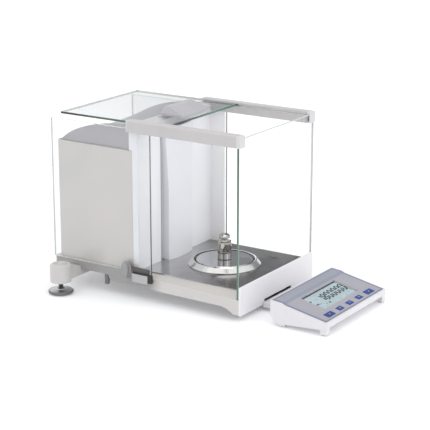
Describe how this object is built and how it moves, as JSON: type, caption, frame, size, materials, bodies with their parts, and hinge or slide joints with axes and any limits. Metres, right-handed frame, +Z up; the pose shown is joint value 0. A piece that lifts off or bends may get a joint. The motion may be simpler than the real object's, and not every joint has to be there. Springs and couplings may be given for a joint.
{
  "type": "analytical balance",
  "caption": "Laboratory balance with sliding glass doors around a steel pan, a rear electronics housing, levelling feet and a sloping display console on a front bracket",
  "frame": {"origin": "on the table below the middle of the whole object, console included, with the doors slid open", "axes": "+Z up, +Y from the console towards the rear housing, +X to the right of someone reading the display; X = 0 is the middle of the body"},
  "size_m": [0.34, 0.496, 0.2955],
  "materials": {
    "base_paint": "satin powder coat",
    "white_plastic": "satin moulded",
    "vial_fluid": "clear, filled",
    "rubber": "matt",
    "white_paint": "smooth satin paint",
    "glass": "clear float glass with green edges",
    "rail_paint": "satin paint",
    "column_plastic": "satin moulded",
    "grey_paint": "matt paint",
    "brushed_steel": "fine brushed",
    "housing_paint": "fine powder coat",
    "cover_plastic": "satin moulded",
    "black_plastic": "moulded",
    "plated_steel": "nickel plated",
    "machined_aluminium": "machined",
    "soft_iron": "turned",
    "circuit_board": "solder mask",
    "console_plastic": "satin moulded",
    "printed_sheet": "printed film",
    "lcd_panel": "reflective display",
    "key_blue": "printed film",
    "door_grey": "satin paint",
    "handle_grey": "satin moulded",
    "polished_steel": "mirror polished",
    "weight_steel": "polished",
    "zinc_steel": "turned and plated"
  },
  "bodies": {
    "frame": {"base_casting": "base_paint", "left_foot_housing": "white_plastic", "right_foot_housing": "white_plastic", "level_vial": "vial_fluid", "front_feet": "rubber", "rest_pegs": "rubber", "front_panel": "white_paint", "front_glass": "glass", "left_rail": "rail_paint", "right_rail": "rail_paint", "rail_end_caps": "white_plastic", "cross_beam": "white_paint", "left_post_panel": "white_paint", "right_post_panel": "white_paint", "column_cover": "column_plastic", "column_liner": "grey_paint", "floor_plate": "brushed_steel", "left_side_panel": "housing_paint", "right_side_panel": "housing_paint", "rear_panel": "housing_paint", "top_cover": "cover_plastic", "power_inlet": "black_plastic", "data_port": "plated_steel", "case_screws": "plated_steel", "pan_carrier": "machined_aluminium", "weigh_cell": "machined_aluminium", "magnet_pot": "soft_iron", "force_lever": "machined_aluminium", "main_board": "circuit_board", "display_bracket": "white_plastic", "display_case": "console_plastic", "display_bezel": "console_plastic", "display_sheet": "printed_sheet", "display_window": "glass", "display_lcd": "lcd_panel", "display_board": "circuit_board", "display_pads": "rubber"},
    "left_door": {"left_door_glass": "glass", "left_door_carriage": "door_grey", "left_door_handle": "handle_grey", "left_door_bumper": "rubber"},
    "right_door": {"right_door_glass": "glass", "right_door_carriage": "door_grey", "right_door_handle": "handle_grey", "right_door_bumper": "rubber"},
    "top_door": {"top_door_glass": "glass", "top_door_handle": "handle_grey"},
    "pan": {"weighing_pan": "polished_steel"},
    "ring": {"draft_ring": "polished_steel"},
    "weight": {"calibration_weight": "weight_steel"},
    "left_pad": {"left_foot_pad": "rubber"},
    "left_screw": {"left_foot_screw": "zinc_steel"},
    "right_pad": {"right_foot_pad": "rubber"},
    "right_screw": {"right_foot_screw": "zinc_steel"},
    "key_power": {"key_power": "key_blue"},
    "key_mode": {"key_mode": "key_blue"},
    "key_calibrate": {"key_calibrate": "key_blue"},
    "key_print": {"key_print": "key_blue"},
    "key_tare": {"key_tare": "key_blue"}
  },
  "joints": [
    {"name": "left_door_slide", "type": "slide", "parent": "frame", "child": "left_door", "axis": [0, 1, 0], "range_m": [-0.156, 0]},
    {"name": "right_door_slide", "type": "slide", "parent": "frame", "child": "right_door", "axis": [0, 1, 0], "range_m": [-0.156, 0]},
    {"name": "top_door_slide", "type": "slide", "parent": "frame", "child": "top_door", "axis": [0, 1, 0], "range_m": [-0.131, 0]},
    {"name": "ring_lift", "type": "slide", "parent": "frame", "child": "ring", "axis": [0, 0, 1], "range_m": [0, 0.03]},
    {"name": "pan_lift", "type": "slide", "parent": "frame", "child": "pan", "axis": [0, 0, 1], "range_m": [0, 0.03]},
    {"name": "weight_lift", "type": "slide", "parent": "pan", "child": "weight", "axis": [0, 0, 1], "range_m": [0, 0.06]},
    {"name": "left_foot_raise", "type": "slide", "parent": "frame", "child": "left_pad", "axis": [0, 0, 1], "range_m": [0, 0.005]},
    {"name": "left_foot_turn", "type": "hinge", "parent": "left_pad", "child": "left_screw", "pos_m": [-0.15, 0.203, 0], "axis": [0, 0, 1], "range_deg": [0, 1800]},
    {"name": "right_foot_raise", "type": "slide", "parent": "frame", "child": "right_pad", "axis": [0, 0, 1], "range_m": [0, 0.005]},
    {"name": "right_foot_turn", "type": "hinge", "parent": "right_pad", "child": "right_screw", "pos_m": [0.15, 0.203, 0], "axis": [0, 0, 1], "range_deg": [0, 1800]},
    {"name": "key_power_press", "type": "slide", "parent": "frame", "child": "key_power", "axis": [0, 0.1922, -0.9814], "range_m": [0, 0.0005], "stiffness_N_per_m": 900, "springref_m": -0.0005},
    {"name": "key_mode_press", "type": "slide", "parent": "frame", "child": "key_mode", "axis": [0, 0.1922, -0.9814], "range_m": [0, 0.0005], "stiffness_N_per_m": 900, "springref_m": -0.0005},
    {"name": "key_calibrate_press", "type": "slide", "parent": "frame", "child": "key_calibrate", "axis": [0, 0.1922, -0.9814], "range_m": [0, 0.0005], "stiffness_N_per_m": 900, "springref_m": -0.0005},
    {"name": "key_print_press", "type": "slide", "parent": "frame", "child": "key_print", "axis": [0, 0.1922, -0.9814], "range_m": [0, 0.0005], "stiffness_N_per_m": 900, "springref_m": -0.0005},
    {"name": "key_tare_press", "type": "slide", "parent": "frame", "child": "key_tare", "axis": [0, 0.1922, -0.9814], "range_m": [0, 0.0005], "stiffness_N_per_m": 900, "springref_m": -0.0005}
  ],
  "couplings": [
    {"joint": "left_foot_turn", "follows": "left_foot_raise", "rad_per_m": 6283.2},
    {"joint": "right_foot_turn", "follows": "right_foot_raise", "rad_per_m": 6283.2}
  ]
}
